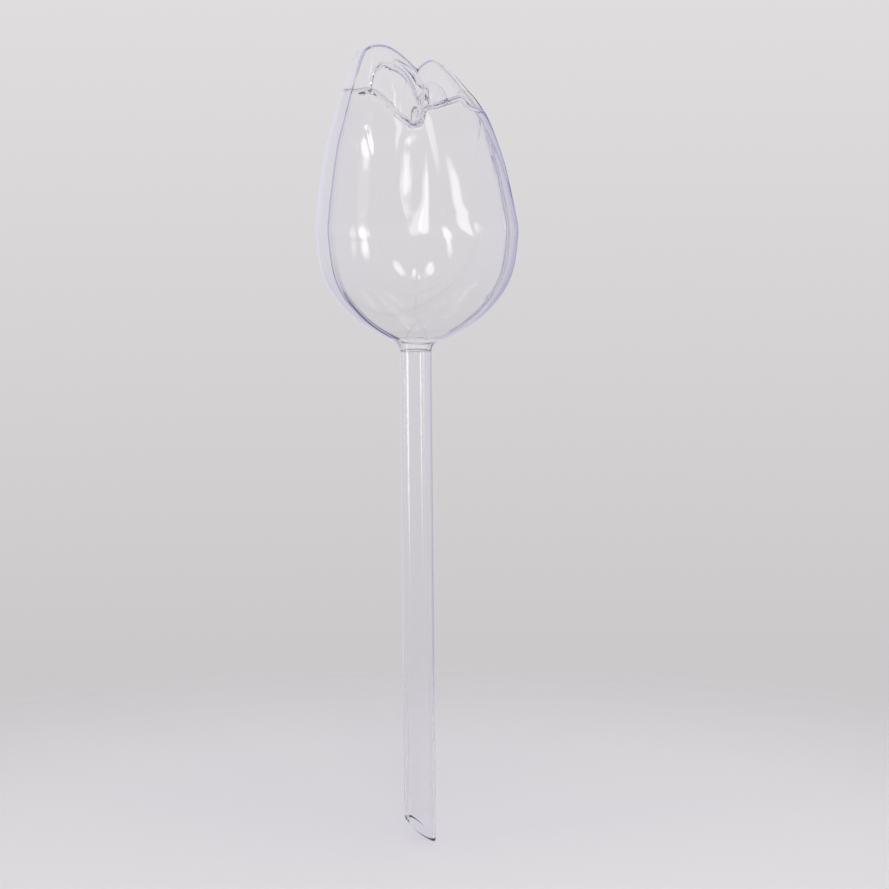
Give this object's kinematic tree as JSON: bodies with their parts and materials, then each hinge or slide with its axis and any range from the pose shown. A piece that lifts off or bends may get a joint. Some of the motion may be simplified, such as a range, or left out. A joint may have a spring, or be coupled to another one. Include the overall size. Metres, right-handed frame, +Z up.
{
  "type": "watering globe",
  "caption": "Clear plastic watering globe: a hollow tulip-bud reservoir on a hollow stem with a slanted, open tip that is pushed into the soil of a pot.",
  "frame": {"origin": "on the stem's axis, at the lowest section where the stem is a full circle, just above the slanted cut", "axes": "+Z up along the stem to the bulb; the bulb's two shells meet on the plane y = 0, and the front shell is on the -Y side"},
  "size_m": [0.0693, 0.0688, 0.2742],
  "materials": {
    "clear_pvc_bulb": "clear blow-moulded PVC, gloss, faintly blue-violet, darker at its edges",
    "clear_pvc_stem": "clear PVC tube, gloss, faintly blue-violet, darker at its edges"
  },
  "bodies": {
    "root": {"bulb_front_shell": "clear_pvc_bulb", "bulb_back_shell": "clear_pvc_bulb", "stem_tube": "clear_pvc_stem"}
  },
  "joints": []
}
